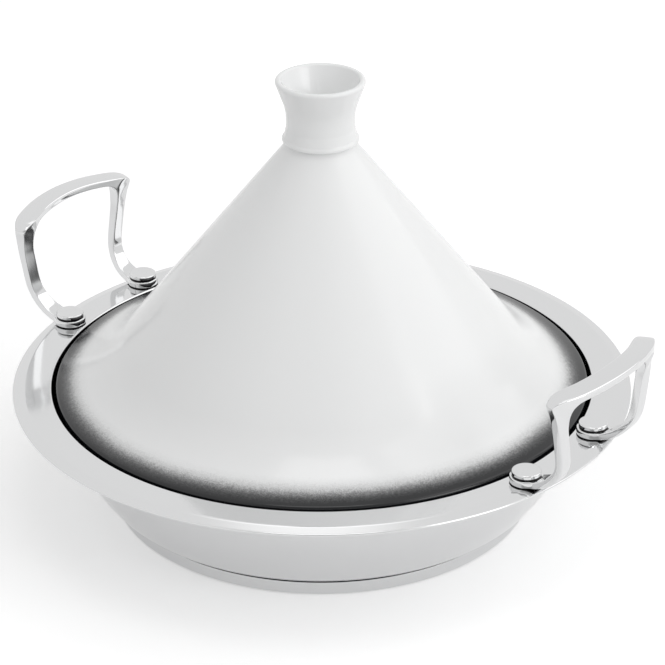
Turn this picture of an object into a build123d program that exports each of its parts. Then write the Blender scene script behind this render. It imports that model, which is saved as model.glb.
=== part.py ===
"""Round tagine: a wide-flanged steel bowl on a clad base, two riveted loop handles and a
conical glazed lid with an open cup for a knob.

Millimetres. The origin is the centre of the base where it stands, +Z is up, and the
handles lie along X. Everything but the lid stays together as the pan.
"""
from build123d import *
from math import atan2, cos, hypot, pi, radians, sin, tan
import os

# Bowl and flange
RIM_R = 159.2          # inside of the bowl where it turns out into the flange
FLANGE_W = 22.8        # from there to the flange's outer edge
FLANGE_Z = 75.8        # flat top of the flange
SHEET = 1.6            # steel sheet of the bowl and flange
LIP_W = 6.2            # outer zone of the flange, which falls away
LIP_FALL = 14.5        # degrees that it falls
LIP_CURVE = 5.0        # radius of the turn into it
RIM_CURVE = 2.2        # rounding from the bowl's wall to the flange, on top
BOWL_FOOT_OUT = 3.3    # bowl's bottom corner past the base
BOWL_FOOT_CURVE = 17.0 # opens a groove over the base cap's edge
BOWL_FOOT_FLAT = 10.5  # straight wall above that corner, before the wall bulges
BOWL_BEND_RISE = 23.1  # height at which the wall's two slopes would cross
BOWL_BULGE = 4.6       # how far outside a straight wall they cross
BOWL_NECK = 5.8        # height of the upright band under the flange
BOWL_NECK_CURVE = 9.0

# Clad base under the bowl
BASE_R = 125.0         # outside of the base cap
BASE_H = 9.8           # floor to the underside of the bowl
BASE_CURVE = 4.2       # rounding at the floor
CAP_SHEET = 0.8
CAP_LINE = 0.5         # thin open line between the cap's edge and the bowl
CORE_GAP = 0.1         # core to cap, all round

# Handles
RIVET_OUT = 7.6        # rivets, out from the bowl's rim
RIVET_IN = 16.4        # and in from the grip's end
PAD_R = 9.6
PAD_T = 4.4
LEG_OUT = 10.8         # middle of the upright legs, out from the flange's edge
LEG_W = 8.5
LEG_T = 5.2
LEG_EDGE = 1.0
FOOT_CURVE = 22.0      # leg turning up out of the pad
FOOT_W = 13.0          # leg where it leaves the pad
LEG_IN = 4.8           # middle of the leg's top, in from the grip's end
LEG_TOP_W = 9.4        # leg where it has filled the grip's end
FLARE_H = 20.0         # height over which it widens
GRIP_IN = 0.8          # middle of the grip's ends, in from the legs
GRIP_RISE = 63.1       # top of the grip at its ends, above the flange
GRIP_W = 13.4
GRIP_T = 4.8
GRIP_HALF = 51.0       # middle to end
GRIP_BOW = 9.7         # how far its middle stands out past its ends
GRIP_ARCH = 4.4        # and above them
GRIP_EDGE = 1.3
GRIP_STEP = 0.5        # the grip stands this far past the leg, ends and sides
CORNER_FILL = 10.0     # rounding between a leg and the grip, inside the loop

# Rivets
SHANK_R = 3.0
SHANK_GAP = 0.1
HEAD_IN = 1.3          # rivet head's edge, in from the pad's edge
HEAD_T = 3.0
HEAD_EDGE = 0.8
TAIL_R = 4.2
TAIL_T = 1.4
TAIL_GAP = 0.15

# Lid
LID_GAP = 2.2          # lid's edge to the bowl's rim
SEAT_W = 2.0           # width of the slanted seat that lies along the bowl's wall
SEAT_GAP = 0.3         # lid to wall, square to the wall
SHOULDER_RISE = 0.5    # top corner of the lid's edge, above the flange
SHOULDER_CURVE = 2.0
SKIRT_W = 25.5         # from the edge in to where skirt and cone would cross
SKIRT_RISE = 7.5       # and up to there
SKIRT_FLAT = 4.5       # straight skirt left beside the shoulder
CONE_H = 174.0         # point where the cone's sides would meet, above the shoulder
LID_WALL = 5.5
HOLLOW_DROP = 36.3     # top of the hollow, down from that point
LID_EDGE = 0.8

# Knob, open on top like an egg cup
NECK_R = 18.9          # crease where the knob stands on the cone
BEAD_OUT = 3.1
BEAD_RISE = 0.8        # bead above the crease
WAIST_OUT = 0.75       # straight waist, out from the crease
WAIST_RISE = 8.5
KNOB_BEND_RISE = 19.2  # end of the waist, where the wall bends out to the lip
KNOB_H = 37.6          # crease to the lip's top
KNOB_LIP_OUT = 7.4
KNOB_LIP_W = 3.6
CUP_TAPER = 9.9        # cup's floor, in from its mouth
CUP_DEPTH = 24.0
WAIST_CURVE = 6.0
KNOB_BEND_CURVE = 30.0
BEAD_CURVE = 1.2
CUP_CURVE = 8.0

# Places that follow from these sizes
FLANGE_R = RIM_R + FLANGE_W
RIVET_X = RIM_R + RIVET_OUT
RIVET_Y = GRIP_HALF - RIVET_IN
HEAD_R = PAD_R - HEAD_IN
LEG_X = FLANGE_R + LEG_OUT
LEG_TOP_Y = GRIP_HALF - LEG_IN
GRIP_X = LEG_X - GRIP_IN
GRIP_Z = FLANGE_Z + GRIP_RISE
LID_R = RIM_R - LID_GAP
SHOULDER_Z = FLANGE_Z + SHOULDER_RISE
CONE_TIP_Z = SHOULDER_Z + CONE_H


def offset_corners(points, gap):
    """Corners of the chain that runs gap to the left of points, with square-cut ends."""
    lines = []
    for (x0, y0), (x1, y1) in zip(points, points[1:]):
        run = hypot(x1 - x0, y1 - y0)
        ux, uy = (x1 - x0) / run, (y1 - y0) / run
        lines.append((x0 - uy * gap, y0 + ux * gap, ux, uy))
    corners = [lines[0][:2]]
    for (x0, y0, ux, uy), (x1, y1, vx, vy) in zip(lines, lines[1:]):
        step = ((x1 - x0) * vy - (y1 - y0) * vx) / (ux * vy - uy * vx)
        corners.append((x0 + ux * step, y0 + uy * step))
    x, y, ux, uy = lines[-1]
    run = hypot(points[-1][0] - points[-2][0], points[-1][1] - points[-2][1])
    return corners + [(x + ux * run, y + uy * run)]


def turned(points, curves):
    """Solid turned about Z from a closed chain of (radius, height) corners."""
    outline = FilletPolyline(*points, radius=curves, close=True)
    return revolve(Plane.XZ * make_face(outline.edges()), Axis.Z)


def turn_at(a, b, c):
    """Angle in radians that a chain turns through at b."""
    first = atan2(b[1] - a[1], b[0] - a[0])
    second = atan2(c[1] - b[1], c[0] - b[0])
    return abs((second - first + pi) % (2 * pi) - pi)


def fitting_curve(a, b, c, flat):
    """Radius at b that leaves this much straight on the way to the nearer of a and c."""
    arm = min(hypot(b[0] - a[0], b[1] - a[1]), hypot(c[0] - b[0], c[1] - b[1]))
    return (arm - flat) / tan(turn_at(a, b, c) / 2)


def bowl_outside():
    """Outer face of the bowl and underside of the flange, from the middle outwards."""
    foot_r, neck_r = BASE_R + BOWL_FOOT_OUT, RIM_R + SHEET
    neck_z, under = FLANGE_Z - BOWL_NECK, FLANGE_Z - SHEET
    straight_r = foot_r + (neck_r - foot_r) * BOWL_BEND_RISE / (neck_z - BASE_H)
    return [(0, BASE_H), (foot_r, BASE_H), (straight_r + BOWL_BULGE, BASE_H + BOWL_BEND_RISE),
            (neck_r, neck_z), (neck_r, under), (FLANGE_R - LIP_W, under),
            (FLANGE_R, under - LIP_W * tan(radians(LIP_FALL)))]


def pan_shell():
    outside = bowl_outside()
    inside = offset_corners(outside, SHEET)
    bulge = fitting_curve(*outside[1:4], BOWL_FOOT_FLAT)
    outer = [BOWL_FOOT_CURVE, bulge, BOWL_NECK_CURVE, RIM_CURVE - SHEET, LIP_CURVE]
    inner = [BOWL_FOOT_CURVE - SHEET, bulge - SHEET, BOWL_NECK_CURVE - SHEET,
             RIM_CURVE, LIP_CURVE + SHEET]
    edge = 0.45 * SHEET
    curves = [0] + outer + [edge, edge] + inner[::-1] + [0]
    shell = turned(outside + inside[::-1], curves)
    holes = [Pos(sx * RIVET_X, sy * RIVET_Y, FLANGE_Z - SHEET)
             * Cylinder(SHANK_R + SHANK_GAP, 4 * SHEET)
             for sx in (-1, 1) for sy in (-1, 1)]
    return shell - holes


def base_cap():
    top = BASE_H - CAP_LINE
    inner_r, inner_curve = BASE_R - CAP_SHEET, BASE_CURVE - CAP_SHEET
    points = [(0, 0), (BASE_R, 0), (BASE_R, top), (inner_r, top),
              (inner_r, CAP_SHEET), (0, CAP_SHEET)]
    lip = 0.3 * CAP_SHEET
    return turned(points, [0, BASE_CURVE, lip, lip, inner_curve, 0])


def base_core():
    r = BASE_R - CAP_SHEET - CORE_GAP
    points = [(0, CAP_SHEET), (r, CAP_SHEET), (r, BASE_H), (0, BASE_H)]
    return turned(points, [0, BASE_CURVE - CAP_SHEET, 0, 0])


def leg_section(spot, lean, w, t, edge=LEG_EDGE, turn=0.0):
    """Rounded section of a leg: lean is 0 where the leg lies flat and 90 where it stands."""
    along = Vector(cos(radians(lean)), 0, sin(radians(lean)))
    across = Vector(-sin(turn), cos(turn), 0)
    return Plane(origin=spot, x_dir=across, z_dir=along) * RectangleRounded(w, t, edge)


def leg_line(x, z):
    """Middle of a leg at this height; the two legs spread on their way up."""
    spread = (LEG_TOP_Y - RIVET_Y) / (GRIP_Z - FLANGE_Z - PAD_T)
    return Vector(x, RIVET_Y + spread * (z - FLANGE_Z - PAD_T / 2), z)


def foot_sections():
    """Flat in the pad, then round the foot curve until the leg stands upright."""
    middle_z = FLANGE_Z + PAD_T / 2
    yield leg_section(leg_line(RIVET_X, middle_z), 0, FOOT_W, PAD_T)
    for lean in (0, 25, 50, 75, 90):
        grow = max(0.0, 1 - lean / 75)
        x = LEG_X - FOOT_CURVE * (1 - sin(radians(lean)))
        z = middle_z + FOOT_CURVE * (1 - cos(radians(lean)))
        yield leg_section(leg_line(x, z), lean, LEG_W + grow * (FOOT_W - LEG_W),
                          LEG_T + grow * (PAD_T - LEG_T))


def flare_sections():
    """The leg widens to fill the end of the grip and rounds into it on the inside."""
    end_y = GRIP_HALF - GRIP_W / 2
    end_turn = 2 * atan2(GRIP_BOW, end_y)
    top_z = GRIP_Z - GRIP_T / 4
    top_t = GRIP_W - 2 * GRIP_STEP
    top_edge = (top_t - LEG_EDGE) / 2
    reach = GRIP_W / 2 - GRIP_STEP - LEG_TOP_W / 2
    end = Vector(GRIP_X - reach * sin(end_turn), end_y + reach * cos(end_turn), top_z)
    for level in (0, 0.2, 0.4, 0.6, 0.75, 0.87, 0.95, 1):
        drop = (1 - level) * FLARE_H
        part = level ** 2
        turn = part * end_turn
        inward = CORNER_FILL * max(0.0, 1 - drop / CORNER_FILL) ** 3
        spot = leg_line(LEG_X, top_z - drop) + (end - leg_line(LEG_X, top_z)) * part
        spot -= Vector(-sin(turn), cos(turn), 0) * (inward / 2)
        yield leg_section(spot, 90, LEG_W + part * (LEG_TOP_W - LEG_W) + inward,
                          LEG_T + part * (top_t - LEG_T),
                          LEG_EDGE + part * (top_edge - LEG_EDGE), turn)


def leg():
    """One leg, from the middle of its pad up into the end of the grip."""
    knee_z = FLANGE_Z + PAD_T / 2 + FOOT_CURVE
    flare_z = GRIP_Z - GRIP_T / 4 - FLARE_H
    upright = [leg_section(leg_line(LEG_X, knee_z + part * (flare_z - knee_z)), 90, LEG_W, LEG_T)
               for part in (0.35, 0.7)]
    return loft([*foot_sections(), *upright, *flare_sections()])


def grip():
    """Top bar: bowed outwards in plan, arched in height, rounded at its ends."""
    end_y = GRIP_HALF - GRIP_W / 2
    plan = ThreePointArc((GRIP_X, -end_y), (GRIP_X + GRIP_BOW, 0), (GRIP_X, end_y))
    prism = extrude(SlotArc(plan, GRIP_W), GRIP_Z + GRIP_ARCH + GRIP_T)
    top = ThreePointArc((-GRIP_HALF, GRIP_Z), (0, GRIP_Z + GRIP_ARCH), (GRIP_HALF, GRIP_Z))
    low = ThreePointArc((-GRIP_HALF, GRIP_Z - GRIP_T), (0, GRIP_Z + GRIP_ARCH - GRIP_T),
                        (GRIP_HALF, GRIP_Z - GRIP_T))
    ends = [Line(top @ i, low @ i) for i in (0, 1)]
    arch = extrude(Plane.YZ * make_face([top, low] + ends), GRIP_X + GRIP_BOW + GRIP_W)
    bar = prism & arch
    return fillet(bar.edges(), GRIP_EDGE)


def handle():
    """Handle on the +X side: two pads, two legs and the grip, cast in one."""
    pad = Pos(RIVET_X, RIVET_Y, FLANGE_Z + PAD_T / 2) * Cylinder(PAD_R, PAD_T)
    pad = fillet(pad.edges(), 0.25 * PAD_T)
    half = pad + leg()
    whole = half + mirror(half, Plane.XZ) + grip()
    flange_room = Pos(0, 0, FLANGE_Z - PAD_T) * Cylinder(2 * FLANGE_R, 2 * PAD_T)
    whole -= flange_room
    head_room = HEAD_T + SHANK_GAP
    for side in (-1, 1):
        rivet_y = side * RIVET_Y
        whole -= Pos(RIVET_X, rivet_y, FLANGE_Z) * Cylinder(SHANK_R + SHANK_GAP, 4 * PAD_T)
        whole -= Pos(RIVET_X, rivet_y, FLANGE_Z + PAD_T + head_room / 2) \
            * Cylinder(HEAD_R + SHANK_GAP, head_room)
    return whole


def rivet():
    """Rivet on the Z axis, as it lies through a pad and the flange."""
    seat = FLANGE_Z + PAD_T
    tail_top = FLANGE_Z - SHEET - TAIL_GAP
    points = [(0, tail_top - TAIL_T), (TAIL_R, tail_top - TAIL_T), (TAIL_R, tail_top),
              (SHANK_R, tail_top), (SHANK_R, seat), (HEAD_R, seat),
              (HEAD_R, seat + HEAD_T), (0, seat + HEAD_T)]
    tail_edge = 0.5 * TAIL_T
    return turned(points, [0, tail_edge, 0, 0, 0, 0.2, HEAD_EDGE, 0])


def cone_z(r):
    """Height of the cone's face at this radius."""
    return CONE_TIP_Z - r * (CONE_H - SKIRT_RISE) / (LID_R - SKIRT_W)


def seat_line():
    """Lower and upper corner of the lid's rim where it lies along the bowl's wall."""
    wall = offset_corners(bowl_outside(), SHEET + SEAT_GAP)
    (r0, z0), (r1, z1) = wall[2], wall[3]
    rise = (z1 - z0) / (r1 - r0)
    return [(r, z0 + (r - r0) * rise) for r in (LID_R - SEAT_W, LID_R)]


def lid():
    """Cone, flared skirt, upright edge and cup knob, in one piece of glazed clay."""
    low, high = seat_line()
    neck_z = cone_z(NECK_R)
    outside = [(LID_R, low[1]), (LID_R, SHOULDER_Z),
               (LID_R - SKIRT_W, SHOULDER_Z + SKIRT_RISE), (NECK_R, neck_z)]
    inside = offset_corners(outside, LID_WALL)
    (r2, z2), (r3, z3) = inside[2], inside[3]
    hollow_z = CONE_TIP_Z - HOLLOW_DROP
    hollow_r = r2 + (r3 - r2) * (hollow_z - z2) / (z3 - z2)
    waist_r = NECK_R + WAIST_OUT
    knob_z, knob_r = neck_z + KNOB_H, NECK_R + KNOB_LIP_OUT
    mouth_r, cup_z = knob_r - KNOB_LIP_W, knob_z - CUP_DEPTH
    lip = 0.45 * KNOB_LIP_W
    corners = [
        (0, hollow_z, 0), (hollow_r, hollow_z, LID_WALL),
        (*inside[2], fitting_curve(*inside[1:], SKIRT_FLAT)), (*inside[1], SHOULDER_CURVE),
        (*inside[0], LID_EDGE), (*low, LID_EDGE), (*high, LID_EDGE),
        (*outside[1], SHOULDER_CURVE), (*outside[2], fitting_curve(*outside[1:], SKIRT_FLAT)),
        (*outside[3], 0), (NECK_R + BEAD_OUT, neck_z + BEAD_RISE, BEAD_CURVE),
        (waist_r, neck_z + WAIST_RISE, WAIST_CURVE),
        (waist_r, neck_z + KNOB_BEND_RISE, KNOB_BEND_CURVE),
        (knob_r, knob_z, lip), (mouth_r, knob_z, lip),
        (mouth_r - CUP_TAPER, cup_z, CUP_CURVE), (0, cup_z, 0)]
    return turned([c[:2] for c in corners], [c[2] for c in corners])


def build():
    parts = {"pan_shell": pan_shell(), "base_cap": base_cap(), "base_core": base_core()}
    right = handle()
    parts["handle_right"] = right
    parts["handle_left"] = Rot(0, 0, 180) * right
    stud = rivet()
    for x_name, sx in (("left", -1), ("right", 1)):
        for y_name, sy in (("front", -1), ("back", 1)):
            place = Pos(sx * RIVET_X, sy * RIVET_Y, 0)
            parts[f"rivet_{x_name}_{y_name}"] = place * stud
    parts["lid"] = lid()
    return parts


os.makedirs("parts", exist_ok=True)
for name, shape in build().items():
    export_step(shape, f"parts/{name}.step")
    box = shape.bounding_box()
    print(f"{name:20s} {shape.volume / 1000:8.1f} cm3  z {box.min.Z:7.2f} to {box.max.Z:7.2f}")
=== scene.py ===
# %% [markdown]
# # A steel tagine with a glazed clay lid
#
# This lesson dresses a finished CAD model of a tagine: a wide steel pan on a thick base, two
# riveted loop handles, and a tall clay lid with an open cup for a knob. The CAD model gives
# every size and place. It is loaded first and never changed; the pieces made here lie exactly
# over it, with smoother surfaces and real finishes.

# %% Load the frame
from math import atan2, ceil, cos, degrees, pi, radians, sin, tan
import bmesh
import bpy
from mathutils import Matrix, Vector


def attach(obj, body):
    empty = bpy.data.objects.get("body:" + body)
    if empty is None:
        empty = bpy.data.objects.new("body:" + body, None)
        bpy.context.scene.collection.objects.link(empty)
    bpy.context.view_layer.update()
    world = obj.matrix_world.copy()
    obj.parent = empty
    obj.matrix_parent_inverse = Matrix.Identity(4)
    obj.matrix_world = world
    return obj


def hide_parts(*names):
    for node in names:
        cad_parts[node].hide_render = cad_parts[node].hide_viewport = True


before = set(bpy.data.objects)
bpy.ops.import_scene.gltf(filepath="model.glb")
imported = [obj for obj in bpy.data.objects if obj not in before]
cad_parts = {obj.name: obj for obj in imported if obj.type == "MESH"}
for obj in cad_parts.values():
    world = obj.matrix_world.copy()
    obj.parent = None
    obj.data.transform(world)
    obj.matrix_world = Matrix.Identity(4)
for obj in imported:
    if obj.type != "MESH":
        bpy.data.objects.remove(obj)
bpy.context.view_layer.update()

scene = bpy.context.scene
print("CAD nodes:", sorted(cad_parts))

# %% [markdown]
# ## Sizes
#
# A maker writes sizes in millimetres and Blender works in metres, so one factor converts them.
# These are the same sizes as in the CAD model. Most pieces are round, so a piece is described
# by corners of (radius, height, rounding) and is then turned on a lathe.

# %% Sizes that several pieces share, in millimetres
MM = 0.001
RIM_R, FLANGE_R, FLANGE_Z, SHEET = 159.2, 182.0, 75.8, 1.6
BASE_R, BASE_H, CAP_SHEET, CAP_LINE = 125.0, 9.8, 0.8, 0.5
LID_R, SHOULDER_Z, LID_WALL = 157.0, 76.3, 5.5
NECK_R, NECK_Z, KNOB_TOP_Z = 18.9, 226.37, 263.97
RIVET_X, RIVET_Y, PAD_T = 166.8, 34.6, 4.4
print("flange", FLANGE_R * 2, "mm across, lid", LID_R * 2, "mm across")

# %% [markdown]
# ## Camera
#
# The product photograph was taken with a long lens from about 27 degrees above the table, and
# turned about 37 degrees from the view that has one handle at each side. A long lens keeps the
# ellipses of the rim and the base nearly parallel. Blender could aim a camera with a Track To
# constraint; here its matrix is built from three directions, which also allows the slight tilt
# of the real camera.

# %% Camera
TURN, RISE, TILT = 36.95, 26.63, -0.19      # degrees
DISTANCE, LENS, SENSOR = 1701.06 * MM, 156.84, 36.0
AIM = Vector((0, 0, 104.19 * MM))
SIDESTEP = 6.38 * MM


def heading(azimuth, elevation):
    """Direction from the tagine towards this azimuth and elevation, in degrees."""
    a, e = radians(azimuth), radians(elevation)
    return Vector((sin(a) * cos(e), -cos(a) * cos(e), sin(e)))


turn, tilt = radians(TURN), radians(TILT)
eye = AIM + heading(TURN, RISE) * DISTANCE
target = AIM + Vector((cos(turn), sin(turn), 0)) * SIDESTEP
forward = (target - eye).normalized()
level = forward.cross(Vector((0, 0, 1))).normalized()
rise = level.cross(forward)
right = level * cos(tilt) + rise * sin(tilt)
up = rise * cos(tilt) - level * sin(tilt)
looking = Matrix((right, up, -forward)).transposed()

camera = bpy.data.objects.new("camera", bpy.data.cameras.new("camera"))
scene.collection.objects.link(camera)
camera.data.sensor_width, camera.data.lens = SENSOR, LENS
camera.data.clip_start, camera.data.clip_end = 0.05, 50.0
camera.matrix_world = Matrix.Translation(eye) @ looking.to_4x4()
scene.camera = camera
scene.view_settings.view_transform = "Standard"
print("camera stands", [round(v, 3) for v in eye])

# %% [markdown]
# ## A lathe
#
# Pan, base, lid and rivets are all round, so each is one outline turned about the Z axis. A
# Screw modifier could turn a drawn curve; bmesh's spin turns it at once and closes the piece
# on the axis. The outline is drawn like a pen stroke: straight runs, and at each rounded
# corner the pen spins about that corner's own centre, which gives a true arc. A polished
# surface shows every bend in its shading, so each straight run gets a holding point close to
# both of its ends. They keep the shading of a small rounding from leaking over the flat.

# %% Pen
HOLD = 0.4 * MM          # holding points stand this far from the ends of a straight run
ARC_TURN = 6             # an arc has a point for every so many degrees,
ARC_STEP = 2 * MM        # or for every so much of its length, whichever gives more
ARC_FEWEST = 4


def line_to(bm, pen, spot):
    """Draw a straight run from the pen's vertex to this spot, and return the new vertex."""
    start, run = pen.co.copy(), (spot - pen.co).length
    if run < 1e-7:
        return pen
    stops = [HOLD / run, 1 - HOLD / run, 1] if run > 5 * HOLD else [1]
    for part in stops:
        fresh = bm.verts.new(start.lerp(spot, part))
        bm.edges.new((pen, fresh))
        pen = fresh
    return pen


def arc_from(bm, pen, going, turn, radius):
    """Carry the pen round an arc that leaves along going and turns by this angle."""
    side = Vector((-going.z, 0, going.x)) * (1 if turn > 0 else -1)
    steps = max(ARC_FEWEST, ceil(abs(degrees(turn)) / ARC_TURN),
                ceil(abs(turn) * radius / ARC_STEP))
    bmesh.ops.spin(bm, geom=[pen], cent=pen.co + side * radius, axis=(0, -1, 0),
                   angle=turn, steps=steps)
    bm.verts.ensure_lookup_table()
    return bm.verts[-1]


def draw_outline(bm, corners):
    """Draw an outline in the XZ plane from corners of (radius, height, rounding)."""
    spots = [Vector((r * MM, 0, z * MM)) for r, z, _ in corners]
    pen = bm.verts.new(spots[0])
    for i in range(1, len(spots) - 1):
        arriving = (spots[i] - spots[i - 1]).normalized()
        leaving = (spots[i + 1] - spots[i]).normalized()
        turn = atan2(arriving.x * leaving.z - arriving.z * leaving.x, arriving.dot(leaving))
        radius = corners[i][2] * MM
        pen = line_to(bm, pen, spots[i] - arriving * radius * tan(abs(turn) / 2))
        if radius:
            pen = arc_from(bm, pen, arriving, turn, radius)
    line_to(bm, pen, spots[-1])


print("the pen holds a run", round(HOLD / MM, 2), "mm from its ends")

# %% Lathe
STEPS = 240              # faces round a full turn


def finish_mesh(bm, name):
    """Merge doubles, point the faces outwards and put the mesh in the scene as one piece."""
    bmesh.ops.remove_doubles(bm, verts=bm.verts, dist=1e-6)
    bmesh.ops.recalc_face_normals(bm, faces=bm.faces)
    mesh = bpy.data.meshes.new(name)
    bm.to_mesh(mesh)
    bm.free()
    mesh.shade_smooth()
    piece = bpy.data.objects.new(name, mesh)
    scene.collection.objects.link(piece)
    print(name, len(mesh.polygons), "faces")
    return piece


def turn_on_lathe(name, corners, steps=STEPS):
    """Turn an outline that starts and ends on the Z axis into a closed round piece."""
    bm = bmesh.new()
    draw_outline(bm, corners)
    bmesh.ops.spin(bm, geom=bm.verts[:] + bm.edges[:], cent=(0, 0, 0), axis=(0, 0, 1),
                   angle=2 * pi, steps=steps, use_merge=True)
    return finish_mesh(bm, name)


print("the lathe turns a piece in", STEPS, "steps")

# %% [markdown]
# ## Pan
#
# The pan is one pressed sheet: a bowl with a slightly bulged wall, a short upright neck and a
# wide flange. The flange's outer zone falls away at one angle, like a facet, and catches the
# light from behind as a white band. A Solidify modifier could thicken a single surface, but
# its cut edge would stay square. So only the sheet's outer face is listed, the inner face is
# the same chain moved inwards by the sheet's thickness, and the cut edge between them gets
# its own rounding. The edge where bowl meets flange is ground a little sharper on top.

# %% Outer and inner face of the sheet
BOWL_FOOT = (128.3, BASE_H, 17)             # the rounding opens a groove over the base
BOWL_BEND = (145.37, 32.9, 149.7)
BOWL_NECK = 5.8                             # height of the upright band
LIP_W, LIP_FALL = 6.2, 14.5                 # outer zone and the degrees that it falls
RIM_CORNER, RIM_EDGE = 4, 1.2               # its place in the list, its rounding on top


def moved_inwards(corners, gap):
    """The same chain of corners, moved by gap to its left; roundings shrink or grow."""
    lines, points = [], [Vector((r, z)) for r, z, _ in corners]
    for a, b in zip(points, points[1:]):
        run = (b - a).normalized()
        lines.append((a + Vector((-run.y, run.x)) * gap, run))
    moved = [(lines[0][0].x, lines[0][0].y, 0)]
    for (a, u), (b, v), (_, _, curve) in zip(lines, lines[1:], corners[1:]):
        bend = u.x * v.y - u.y * v.x
        spot = a + u * ((b - a).x * v.y - (b - a).y * v.x) / bend
        moved.append((spot.x, spot.y, curve - gap if bend > 0 else curve + gap))
    end, run = lines[-1]
    end = end + run * (points[-1] - points[-2]).length
    return moved + [(end.x, end.y, 0)]


under = FLANGE_Z - SHEET
bowl_outside = [(0, BASE_H, 0), BOWL_FOOT, BOWL_BEND,
                (RIM_R + SHEET, FLANGE_Z - BOWL_NECK, 9), (RIM_R + SHEET, under, 0.6),
                (FLANGE_R - LIP_W, under, 5),
                (FLANGE_R, under - LIP_W * tan(radians(LIP_FALL)), 0)]
bowl_inside = moved_inwards(bowl_outside, SHEET)
bowl_inside[RIM_CORNER] = (*bowl_inside[RIM_CORNER][:2], RIM_EDGE)
print("inside of the sheet:", [tuple(round(v, 2) for v in c) for c in bowl_inside])

# %% Pan shell
FLANGE_EDGE = 0.45 * SHEET                  # rounding of the sheet's cut edge
edge_out, edge_in = bowl_outside[-1][:2], bowl_inside[-1][:2]
pan = turn_on_lathe("pan_polished_shell", bowl_outside[:-1] + [
    (*edge_out, FLANGE_EDGE), (*edge_in, FLANGE_EDGE)] + bowl_inside[-2::-1])
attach(pan, "pan")
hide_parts("pan_shell")

# %% [markdown]
# ## Base cap
#
# Under the bowl a thin steel cap holds a thick metal core. The bowl's bottom curves up over
# the cap's edge, and between them stays a narrow groove, which the eye reads as a dark joint.
# It is made as a real gap, so that it stays dark from every side, and painted shade on the
# cap's edge and on the core inside deepens it.

# %% Base cap
CAP_CURVE, CAP_EDGE = 4.2, 0.24             # rounding at the floor and of the cut edge
cap_top, cap_inner = BASE_H - CAP_LINE, BASE_R - CAP_SHEET
cap = turn_on_lathe("base_polished_cap", [
    (0, 0, 0), (BASE_R, 0, CAP_CURVE), (BASE_R, cap_top, CAP_EDGE),
    (cap_inner, cap_top, CAP_EDGE), (cap_inner, CAP_SHEET, 3.4), (0, CAP_SHEET, 0)])
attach(cap, "pan")
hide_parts("base_cap")

# %% [markdown]
# ## Lid
#
# The lid is clay thrown on a wheel: a straight cone that flares into a flatter skirt, an
# upright edge, and on top a cup with a bead round its foot. The knob could be a piece of its
# own, but on the real lid it is one with the cone. So outside, hollow and cup are one closed
# outline, which also gives the lid its true wall when it is lifted.

# %% Lid
FOOT_Z, SEAT_W, FOOT_EDGE = 61.0, 2.0, 0.8  # lowest edge, and the slanted seat beside it
SKIRT_W, SKIRT_RISE = 25.5, 7.5             # skirt, in from the lid's edge and up
CUP_Z = KNOB_TOP_Z - 24                     # floor of the cup
inner_r = LID_R - LID_WALL
hollow = [(0, 214.0, 0), (21.66, 214.0, 5.5), (128.27, 79.02, 61.9), (inner_r, 72.18, 2),
          (inner_r, FOOT_Z, FOOT_EDGE)]
seat = [(LID_R - SEAT_W, FOOT_Z, FOOT_EDGE), (LID_R, 65.81, FOOT_EDGE)]
cone = [(LID_R, SHOULDER_Z, 2), (LID_R - SKIRT_W, SHOULDER_Z + SKIRT_RISE, 69.3),
        (NECK_R, NECK_Z, 0)]
bead = [(22.0, NECK_Z + 0.6, 0.9), (22.0, NECK_Z + 2.3, 1.3), (21.0, NECK_Z + 3.4, 1.5)]
knob = [(19.65, NECK_Z + 8.9, 6), (19.65, NECK_Z + 19.2, 30), (26.3, KNOB_TOP_Z, 1.6)]
cup = [(22.7, KNOB_TOP_Z, 1.6), (16.3, KNOB_TOP_Z - 14, 80), (13.0, CUP_Z, 7), (0, CUP_Z, 0)]
lid = turn_on_lathe("lid_glazed_cone", hollow + seat + cone + bead + knob + cup)
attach(lid, "lid")
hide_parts("lid")
print("lid is", [round(v / MM, 1) for v in lid.dimensions], "mm")

# %% [markdown]
# ## Rivets
#
# Two rivets hold each handle. Each has a wide flat head with a softly broken edge, a shank
# through pad and flange, and a small head under the flange. Copies are often placed by moving
# their objects. Here each rivet is turned at the centre and its mesh is moved instead, so that
# its object stays at the origin, as every piece of the frame does.

# %% Rivets
HEAD_R, HEAD_T, SHANK_R = 8.3, 3.0, 3.0
TAIL_R, TAIL_T, TAIL_GAP = 4.2, 1.4, 0.15
RIVET_STEPS = 72
pad_top, tail_top = FLANGE_Z + PAD_T, FLANGE_Z - SHEET - TAIL_GAP
RIVETS = {"rivet_right_front": (1, -1), "rivet_right_back": (1, 1),
          "rivet_left_front": (-1, -1), "rivet_left_back": (-1, 1)}


def make_rivet(node, x_side, y_side):
    """Turn one rivet, move it to its side of the pan and let it stand for its CAD node."""
    rivet = turn_on_lathe(node.replace("rivet", "flat_head_rivet"), [
        (0, tail_top - TAIL_T, 0), (TAIL_R, tail_top - TAIL_T, 0.6), (TAIL_R, tail_top, 0.2),
        (SHANK_R, tail_top, 0.2), (SHANK_R, pad_top, 0.2), (HEAD_R, pad_top, 0.15),
        (HEAD_R, pad_top + HEAD_T, 0.8), (0, pad_top + HEAD_T, 0)], steps=RIVET_STEPS)
    place = (x_side * RIVET_X * MM, y_side * RIVET_Y * MM, 0)
    rivet.data.transform(Matrix.Translation(place))
    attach(rivet, "pan")
    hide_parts(node)
    return rivet


rivets = [make_rivet(node, *sides) for node, sides in RIVETS.items()]

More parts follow.
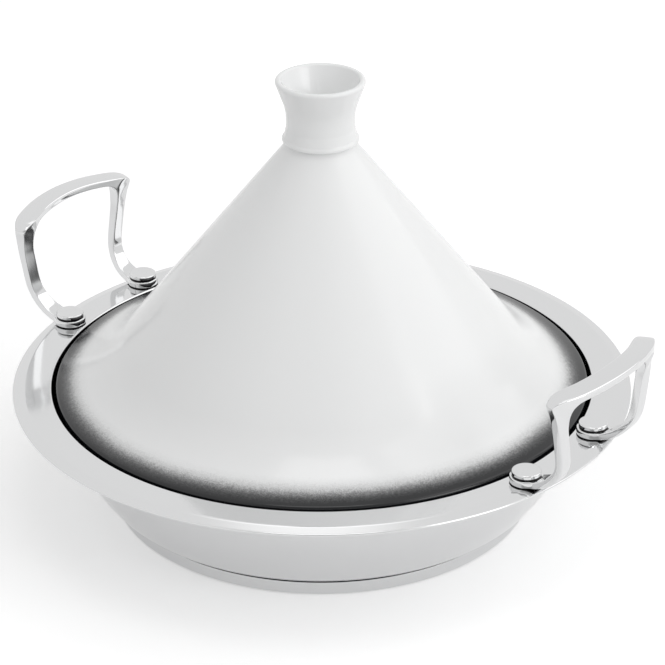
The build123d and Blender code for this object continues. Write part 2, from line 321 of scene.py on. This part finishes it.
# %% [markdown]
# ## Handles
#
# Each handle is one casting: a flat-topped grip that bows outwards and arches up, two slim
# legs, and a round pad at the foot of each leg. A bevelled curve would keep one section all
# along, but a casting flows from one form into the next, which suits subdivision. A row of
# rounded rectangular sections is placed along half of the handle and joined with bridge_loops,
# the half is mirrored, and a Subdivision Surface modifier rounds the cage. Each section is a
# square face with its corners bevelled, so the crisp edges of the grip run on into the legs.
# It is written as its middle, its wide side, its thick side, the bevel of its corners and the
# taper of its upper side.

# %% Sections of the grip and its corner
GRIP_W, GRIP_T, GRIP_EDGE = 13.4, 4.8, 1.3
BOW_R, ARCH_R = 106.0, 297.8                # radii of the bow outwards and the arch up
BOW_X, ARCH_Z = 201.7 - BOW_R, 143.3 - ARCH_R
LEG_X = 192.8


def grip_section(bow):
    """A section of the grip at this angle round its bow."""
    x, y = BOW_X + BOW_R * cos(bow), BOW_R * sin(bow)
    top = ARCH_Z + (ARCH_R ** 2 - y ** 2) ** 0.5
    lean = Vector((0, y / ARCH_R, 1)).normalized()
    return (Vector((x, y, top - GRIP_T / 2)), Vector((cos(bow), sin(bow), 0)) * GRIP_W,
            lean * GRIP_T, GRIP_EDGE, 1.0)


def corner_section(bow, x, inner, outer, wide, edge, taper):
    """A section between an inner and an outer point of (y, z), from the grip to the leg."""
    (y0, z0), (y1, z1) = inner, outer
    bow = radians(bow)
    thick = Vector((-(y1 - y0) * tan(bow), y1 - y0, z1 - z0))
    return (Vector((x, (y0 + y1) / 2, (z0 + z1) / 2)),
            Vector((cos(bow), sin(bow), 0)) * wide, thick, edge, taper)


grip = [grip_section(radians(a)) for a in (0, 5, 10, 14, 17)]
corner = [
    corner_section(20.4, 194.9, (34.6, 136.5), (40.2, 140.9), 13.4, 1.3, 1.0),
    corner_section(23.5, 192.9, (38.2, 134.4), (46.8, 139.8), 13.2, 1.4, 0.84),
    corner_section(22.0, 192.0, (39.7, 131.8), (50.9, 137.2), 12.0, 1.3, 0.55),
    corner_section(18.5, 192.1, (40.0, 129.9), (50.8, 134.2), 10.8, 1.1, 0.58),
    corner_section(14.0, 192.3, (40.0, 127.9), (49.5, 131.2), 9.4, 1.0, 0.66),
    corner_section(8.0, 192.6, (39.6, 124.8), (48.6, 126.8), 7.8, 0.9, 0.76),
    corner_section(3.0, 192.7, (39.0, 121.0), (47.6, 121.8), 6.4, 0.85, 0.9),
    corner_section(0.0, LEG_X, (38.2, 118.0), (46.9, 118.3), 5.6, 0.8, 1.0),
    corner_section(0.0, LEG_X, (36.4, 109.0), (45.0, 109.0), 5.3, 0.7, 1.0),
]
print(len(grip), "sections in half a grip,", len(corner), "in its corner")

# %% Sections of the foot and the pad
KNEE_R, LEG_Z = 22.0, FLANGE_Z + PAD_T / 2
LEG_SPLAY = 0.1976                          # the legs spread by this share of their height
FOOT_EDGES = {"knee": 0.75, "pad": 1.1}


def foot_section(lean, width, thick, edge, past=0.0):
    """A section of the foot: lean is 90 where the leg stands and 0 where it lies flat."""
    a = radians(lean)
    x = LEG_X - KNEE_R * (1 - sin(a)) - past
    z = LEG_Z + KNEE_R * (1 - cos(a))
    y = RIVET_Y + LEG_SPLAY * (z - LEG_Z)
    return (Vector((x, y, z)), Vector((sin(a), 0, -cos(a))) * thick,
            Vector((0, width, 0)), edge, 1.0)


knee = [foot_section(lean, width, thick, FOOT_EDGES["knee"]) for lean, width, thick in (
    (90, 8.6, 5.3), (75, 8.7, 5.2), (60, 9.2, 5.0), (45, 10.0, 4.8), (30, 11.0, 4.6),
    (15, 12.0, 4.4))]
pad = [foot_section(0, width, thick, FOOT_EDGES["pad"], LEG_X - KNEE_R - x)
       for x, width, thick in (
           (174.4, 12.8, 4.4), (172.6, 15.0, 4.4), (170.6, 18.0, 4.4), (168.6, 19.2, 4.4),
           (166.0, 19.4, 4.4), (163.4, 18.4, 4.4), (160.8, 15.4, 4.4), (158.7, 10.6, 4.4),
           (157.5, 6.0, 4.2))]
sections = grip + corner + knee + pad
print(len(sections), "sections in half a handle")

# %% Bridge, mirror and round the handles
ROUNDS = 3                                  # subdivision steps, in the view and the render


def add_section(bm, middle, wide, thick, edge, taper):
    """Bevel the corners of a square face and carry it to its place along the handle."""
    size = Matrix.Diagonal((wide.length, thick.length, 1, 1))
    square = bmesh.ops.create_grid(bm, x_segments=1, y_segments=1, size=0.5, matrix=size)
    rounded = bmesh.ops.bevel(bm, geom=square["verts"], offset=edge, affect="VERTICES",
                              segments=2, profile=0.5, material=-1)["verts"]
    upper = [v for v in rounded if v.co.y > 0]
    bmesh.ops.scale(bm, verts=upper, vec=(taper, 1, 1))
    axes = (wide.normalized(), thick.normalized(), wide.cross(thick).normalized())
    place = Matrix.Translation(middle) @ Matrix(axes).transposed().to_4x4()
    bmesh.ops.transform(bm, verts=rounded, matrix=place)
    return rounded[0].link_faces[0]


def make_handle(name, node, turn):
    """Join the sections of half a handle, mirror them and turn the handle to its side."""
    bm = bmesh.new()
    faces = [add_section(bm, *section) for section in sections]
    rings = [face.edges[:] for face in faces]
    bmesh.ops.delete(bm, geom=faces[:-1], context="FACES_ONLY")
    for ring, following in zip(rings, rings[1:]):
        bmesh.ops.bridge_loops(bm, edges=ring + following)
    bmesh.ops.mirror(bm, geom=bm.verts[:] + bm.edges[:] + bm.faces[:], axis="Y",
                     merge_dist=0.01)
    bmesh.ops.scale(bm, verts=bm.verts, vec=(MM, MM, MM))
    bmesh.ops.rotate(bm, verts=bm.verts, cent=(0, 0, 0),
                     matrix=Matrix.Rotation(turn, 3, "Z"))
    handle = finish_mesh(bm, name)
    rounding = handle.modifiers.new("rounding", "SUBSURF")
    rounding.levels = rounding.render_levels = ROUNDS
    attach(handle, "pan")
    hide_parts(node)
    return handle


handles = [make_handle("right_cast_handle", "handle_right", 0),
           make_handle("left_cast_handle", "handle_left", pi)]
for handle in handles:
    print(handle.name, [round(v, 4) for v in handle.dimensions])

# %% [markdown]
# ## Polished steel
#
# The steel is mirror polished, so its colour is simply a light neutral grey and everything
# else is gloss. A perfect mirror looks like a toy: real polishing leaves the faintest rings
# round a turned sheet, and slow changes of gloss. Both come from noise. The rings read the
# distance from the axis, so that they run round the piece as the polishing wheel did.

# %% Materials and nodes
STEEL = (0.745, 0.748, 0.752)
JOINT_SHADE_GREY = 0.03                                 # grey of the painted shade in a joint


def new_material(name):
    """A material with a Principled shader; returns the material, its nodes and its links."""
    material = bpy.data.materials.new(name)
    material.use_nodes = True
    return material, material.node_tree.nodes, material.node_tree.links


def add_node(nodes, kind, **settings):
    """A node of this kind, with settings on the node and numbers on its named sockets."""
    node = nodes.new("ShaderNode" + kind)
    for key, value in settings.items():
        if key in node.inputs:
            node.inputs[key].default_value = value
        else:
            setattr(node, key, value)
    return node


print("steel mirrors about", round(STEEL[1] * 100), "percent of the light")

# %% Places, noises and bumps on a piece


def spot_radius_height(nodes, links, centre=(0, 0)):
    """The spot on the piece, how far it is from an upright line, and how high, in metres."""
    where = add_node(nodes, "TexCoord")
    split = add_node(nodes, "SeparateXYZ")
    flat = add_node(nodes, "VectorMath", operation="MULTIPLY_ADD")
    flat.inputs[1].default_value = (1, 1, 0)
    flat.inputs[2].default_value = (-centre[0], -centre[1], 0)
    radius = add_node(nodes, "VectorMath", operation="LENGTH")
    links.new(where.outputs["Object"], split.inputs[0])
    links.new(where.outputs["Object"], flat.inputs[0])
    links.new(flat.outputs[0], radius.inputs[0])
    return where.outputs["Object"], radius.outputs["Value"], split.outputs["Z"]


def noise_over(nodes, links, spot, **settings):
    """A noise that reads this spot."""
    noise = add_node(nodes, "TexNoise", **settings)
    links.new(spot, noise.inputs["Vector"])
    return noise


def bump_from(nodes, links, noise, strength, distance):
    """Let a noise raise and lower the surface by up to this distance, in metres."""
    bump = add_node(nodes, "Bump", Strength=strength, Distance=distance)
    links.new(noise.outputs["Fac"], bump.inputs["Height"])
    links.new(bump.outputs["Normal"], nodes["Principled BSDF"].inputs["Normal"])


RING_SCALE = 900
print("noise is read in metres: polishing rings lie about", round(1 / RING_SCALE / MM, 1),
      "mm apart")

# %% Steel
SPUN_GLOSS, CAST_GLOSS = 0.09, 0.07         # roughness; the clouds vary it about this
RINGS = 0.12                                # strength of the polishing rings


def steel_finish(name, colour, gloss, rings=0.0):
    """Polished steel: cloudy gloss, and rings of fine polishing round the axis if asked."""
    material, nodes, links = new_material(name)
    shader = nodes["Principled BSDF"]
    shader.inputs["Base Color"].default_value = (*colour, 1)
    shader.inputs["Metallic"].default_value = 1
    spot, radius, height = spot_radius_height(nodes, links)
    cloud = noise_over(nodes, links, spot, Scale=25, Detail=3)
    rough = add_node(nodes, "MapRange")
    rough.inputs["To Min"].default_value = gloss * 0.7
    rough.inputs["To Max"].default_value = gloss * 1.4
    links.new(cloud.outputs["Fac"], rough.inputs["Value"])
    links.new(rough.outputs["Result"], shader.inputs["Roughness"])
    if rings:
        line = add_node(nodes, "CombineXYZ")
        links.new(radius, line.inputs["X"])
        links.new(height, line.inputs["Z"])
        marks = noise_over(nodes, links, line.outputs[0], Scale=RING_SCALE, Detail=2)
        bump_from(nodes, links, marks, rings, 0.02 * MM)
    return material


spun_steel = steel_finish("spun_polished_steel", STEEL, SPUN_GLOSS, RINGS)
cast_steel = steel_finish("cast_polished_steel", STEEL, CAST_GLOSS)
rivet_steel = steel_finish("rivet_polished_steel", STEEL, CAST_GLOSS)
pan.data.materials.append(spun_steel)
for piece in handles:
    piece.data.materials.append(cast_steel)
for piece in rivets:
    piece.data.materials.append(rivet_steel)
print("steel on", 1 + len(rivets) + len(handles), "pieces")

# %% [markdown]
# ## Painted shade in the joints
#
# Where two polished pieces meet, the corner between them lies in shade, and a thin dark line
# tells them apart. A gap of a tenth of a millimetre would be lost in the mirror, so the line
# is
# painted shade in the finish: the steel darkens round one height, which is the foot of the
# rivet heads and, on the handles, the foot of the pads.

# %% Painted shade under the rivet heads and the pads


def paint_joint_shade(material, joint_z, inner, outer):
    """Paint shade on a steel round one height: fully within inner of it, fading out by outer.
    """
    nodes, links = material.node_tree.nodes, material.node_tree.links
    height = spot_radius_height(nodes, links)[2]
    above = add_node(nodes, "Math", operation="SUBTRACT")
    above.inputs[1].default_value = joint_z * MM
    off = add_node(nodes, "Math", operation="ABSOLUTE")
    share = add_node(nodes, "MapRange", interpolation_type="SMOOTHSTEP")
    share.inputs["From Min"].default_value = inner * MM
    share.inputs["From Max"].default_value = outer * MM
    tint = add_node(nodes, "Mix", data_type="RGBA")
    tint.inputs["A"].default_value = (JOINT_SHADE_GREY, JOINT_SHADE_GREY, JOINT_SHADE_GREY, 1)
    tint.inputs["B"].default_value = (*STEEL, 1)
    links.new(height, above.inputs[0])
    links.new(above.outputs[0], off.inputs[0])
    links.new(off.outputs[0], share.inputs["Value"])
    links.new(share.outputs["Result"], tint.inputs["Factor"])
    links.new(tint.outputs["Result"], nodes["Principled BSDF"].inputs["Base Color"])
    print(material.name, "darkens at", round(joint_z, 2), "mm")


# painted shade under the rivet heads and round the foot of the pads
paint_joint_shade(rivet_steel, pad_top + 0.3, 0.6, 0.9)
paint_joint_shade(cast_steel, FLANGE_Z + 0.1, 0.5, 0.8)

# %% [markdown]
# ## Base and its seam
#
# The cap has the same polish as the bowl. Its cut edge, under the groove, gets the same
# painted shade, and the metal core, which shows only inside that groove, is painted nearly
# black as shade.

# %% Cap and core
cap_steel = steel_finish("cap_polished_steel", STEEL, SPUN_GLOSS, RINGS)
# painted shade on the cap's cut edge, under the groove
paint_joint_shade(cap_steel, cap_top, 0.02, 0.18)
cap.data.materials.append(cap_steel)

# the core is painted nearly black, as painted shade inside the groove
core_metal = steel_finish("core_black_as_painted_shade", (0.04, 0.04, 0.042), 0.6)
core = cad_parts["base_core"]
core.data.materials.clear()
core.data.materials.append(core_metal)
print(cap.name, "is in", cap_steel.name, "and", core.name, "in", core_metal.name)

# %% [markdown]
# ## Glaze
#
# The lid is dipped in a white glaze, and its rim is sprayed with charcoal glaze that fades
# upwards into the white through a fine speckle of droplets. The fade could be painted on an
# image; a ramp on the distance from the axis needs none and has no seam. Its centre lies just
# off the axis and a slow noise moves it in and out, because a hand held the spray gun, and two
# finer noises break it up into droplets. The glaze lies over the clay with a very slight
# orange-peel wave, which bends the reflections.

# %% Reach of the spray
SPRAY_CENTRE = (-1.0 * MM, -1.1 * MM)
HAND, CLOTS, DROPLETS = 0.9, 0.5, 1.0       # how far each noise moves the fade, in mm
glaze, nodes, links = new_material("white_and_charcoal_glaze")
shader = nodes["Principled BSDF"]
spot, radius, _ = spot_radius_height(nodes, links, SPRAY_CENTRE)


def shifted(value, reach, **settings):
    """Add a noise to a value, so that it moves the value by up to reach either way."""
    noise = noise_over(nodes, links, spot, **settings)
    centred = add_node(nodes, "MapRange")
    for name, number in (("From Min", 0.3), ("From Max", 0.7), ("To Min", -reach),
                         ("To Max", reach)):
        centred.inputs[name].default_value = number
    total = add_node(nodes, "Math", operation="ADD")
    links.new(noise.outputs["Fac"], centred.inputs["Value"])
    links.new(value, total.inputs[0])
    links.new(centred.outputs["Result"], total.inputs[1])
    return total.outputs["Value"]


by_hand = shifted(radius, HAND * MM, Scale=11, Detail=2)
clotted = shifted(by_hand, CLOTS * MM, Scale=420, Detail=3)
sprayed = shifted(clotted, DROPLETS * MM, Scale=1400, Detail=1)
print("the fade wanders by", HAND, "mm and its droplets by", CLOTS + DROPLETS, "mm")

# %% Fade from white to charcoal
WHITE_GLAZE, CHARCOAL = (0.86, 0.865, 0.865, 1), (0.006, 0.0065, 0.008, 1)
FADE_START, FADE_END = LID_R - 19.5, LID_R - 3.0
WHITE_LEFT = ((0.21, 0.94), (0.42, 0.7), (0.62, 0.26), (0.76, 0.09), (0.88, 0.03))

fade = add_node(nodes, "MapRange")
fade.inputs["From Min"].default_value = FADE_START * MM
fade.inputs["From Max"].default_value = FADE_END * MM
ramp = add_node(nodes, "ValToRGB")
stops = ramp.color_ramp.elements
stops[0].position, stops[0].color = 0.0, WHITE_GLAZE
stops[1].position, stops[1].color = 1.0, CHARCOAL
for place, part in WHITE_LEFT:
    stops.new(place).color = [w * part + c * (1 - part)
                              for w, c in zip(WHITE_GLAZE, CHARCOAL)]
links.new(sprayed, fade.inputs["Value"])
links.new(fade.outputs["Result"], ramp.inputs["Fac"])
links.new(ramp.outputs["Color"], shader.inputs["Base Color"])
print("charcoal fades in from", FADE_START, "to", FADE_END, "mm from the axis")

# %% Gloss of the glaze
wave = noise_over(nodes, links, spot, Scale=45, Detail=2)
bump_from(nodes, links, wave, 0.35, 0.2 * MM)
shader.inputs["Roughness"].default_value = 0.14
shader.inputs["IOR"].default_value = 1.5
lid.data.materials.append(glaze)
print(lid.name, "is in", glaze.name)

# %% [markdown]
# ## Floor
#
# The photograph has a pure white ground. The floor here is a large round sheet of pale matt
# paper. What the camera sees of it is lifted to white by a little glow that only camera and
# mirror rays meet, so the paper keeps the object's shadow and lights nothing that is matt.

# %% Floor
FLOOR_R, FLOOR_DROP = 4, 0.0002             # metres
PAPER_SEEN, PAPER_MIRRORED = 0.3, 0.2       # glow for the camera and for mirror rays

bm = bmesh.new()
bmesh.ops.create_circle(bm, cap_ends=True, segments=96, radius=FLOOR_R)
bmesh.ops.translate(bm, verts=bm.verts, vec=(0, 0, -FLOOR_DROP))
floor = finish_mesh(bm, "floor")
paper, nodes, links = new_material("white_paper")
shader = nodes["Principled BSDF"]
shader.inputs["Base Color"].default_value = (0.9, 0.9, 0.9, 1)
shader.inputs["Roughness"].default_value = 1
shader.inputs["Specular IOR Level"].default_value = 0
shader.inputs["Emission Color"].default_value = (1, 1, 1, 1)
floor.data.materials.append(paper)

# %% Glow of the floor, by kind of ray


def feed(links, socket, value):
    """Give a socket a plain number, or a link where the value is another node's output."""
    if isinstance(value, (int, float)):
        socket.default_value = value
    else:
        links.new(value, socket)


def by_ray(nodes, links, matt, seen, mirrored):
    """One value for matt surfaces, another for the camera and a third for mirror rays."""
    ray = add_node(nodes, "LightPath")
    in_mirror = add_node(nodes, "Mix", A=matt)
    in_view = add_node(nodes, "Mix", B=seen)
    feed(links, in_mirror.inputs["B"], mirrored)
    links.new(ray.outputs["Is Glossy Ray"], in_mirror.inputs["Factor"])
    links.new(ray.outputs["Is Camera Ray"], in_view.inputs["Factor"])
    links.new(in_mirror.outputs["Result"], in_view.inputs["A"])
    return in_view.outputs["Result"]


links.new(by_ray(nodes, links, 0.0, PAPER_SEEN, PAPER_MIRRORED),
          shader.inputs["Emission Strength"])
print("paper glows", PAPER_SEEN, "for the camera and", PAPER_MIRRORED, "for mirror rays")

# %% [markdown]
# ## World
#
# A white studio lights the steel mostly by what it mirrors. The world is therefore white for
# the camera, a little darker for mirror rays, and gives a low, even fill to matt surfaces. Two
# soft patches shape what the steel mirrors. A bright one high behind the pan lays the white
# band along the front of the flange. A darker one, as the room behind a photographer is, gives
# the faces that look at the camera a soft grey. They could be cards hung round the pan; in the
# world they light nothing else and are easy to move. A patch is the angle between a mirror ray
# and one direction, passed through a soft step.

# %% World
FRONT = 37                                  # the camera's azimuth, in whole degrees
FILL, WHITE, MIRRORED = 0.64, 1.0, 0.9      # matt surfaces, camera, mirror rays

world = bpy.data.worlds.new("studio")
scene.world = world
world.use_nodes = True
nodes, links = world.node_tree.nodes, world.node_tree.links
sky = add_node(nodes, "TexCoord")


def patch(level, azimuth, elevation, inner, outer, glow):
    """Blend level to glow within inner degrees of a direction, fading out by outer."""
    near = add_node(nodes, "VectorMath", operation="DOT_PRODUCT")
    near.inputs[1].default_value = heading(azimuth, elevation)
    share = add_node(nodes, "MapRange", interpolation_type="SMOOTHSTEP")
    share.inputs["From Min"].default_value = cos(radians(outer))
    share.inputs["From Max"].default_value = cos(radians(inner))
    blend = add_node(nodes, "Mix", B=glow)
    feed(links, blend.inputs["A"], level)
    links.new(sky.outputs["Generated"], near.inputs[0])
    links.new(near.outputs["Value"], share.inputs["Value"])
    links.new(share.outputs["Result"], blend.inputs["Factor"])
    return blend.outputs["Result"]


lit_behind = patch(MIRRORED, FRONT + 181, 53.5, 2.5, 9.5, 1.38)
mirrored = patch(lit_behind, FRONT, 27, 6, 34, 0.45)
links.new(by_ray(nodes, links, FILL, WHITE, mirrored), nodes["Background"].inputs["Strength"])
nodes["Background"].inputs["Color"].default_value = (1, 1, 1, 1)
print("world glows", WHITE, "for the camera and", MIRRORED, "for mirror rays")

# %% [markdown]
# ## Lamps
#
# Three soft boxes shade the lid. The window box, low at the right front, gives the cone its
# bright side. A wider, weaker one further round lifts the cone's right edge, and one almost
# overhead lights the skirt. Area lamps are used because their edges are soft, as in a studio.
# The power of a lamp follows from its size and from how bright its face looks.

# %% Lamps
AIM_Z = 0.1                                 # metres; the lamps point at the tagine's middle


def softbox(name, azimuth, elevation, distance, width, height, glow):
    """A rectangular lamp that points at the tagine; glow is how bright its face looks."""
    away = heading(azimuth, elevation)
    lamp = bpy.data.objects.new(name, bpy.data.lights.new(name, "AREA"))
    lamp.data.shape, lamp.data.size, lamp.data.size_y = "RECTANGLE", width, height
    lamp.data.energy = glow * pi * width * height
    lamp.location = Vector((0, 0, AIM_Z)) + away * distance
    lamp.rotation_mode = "QUATERNION"
    lamp.rotation_quaternion = away.to_track_quat("Z", "Y")
    scene.collection.objects.link(lamp)
    print(name, round(lamp.data.energy, 2), "watts")


softbox("window_softbox", FRONT + 53, 26, 3.0, 1.4, 1.2, 2.6)
softbox("side_softbox", FRONT + 95, 45, 2.6, 2.6, 2.6, 0.68)
softbox("top_softbox", FRONT, 80, 2.4, 1.0, 1.0, 1.5)
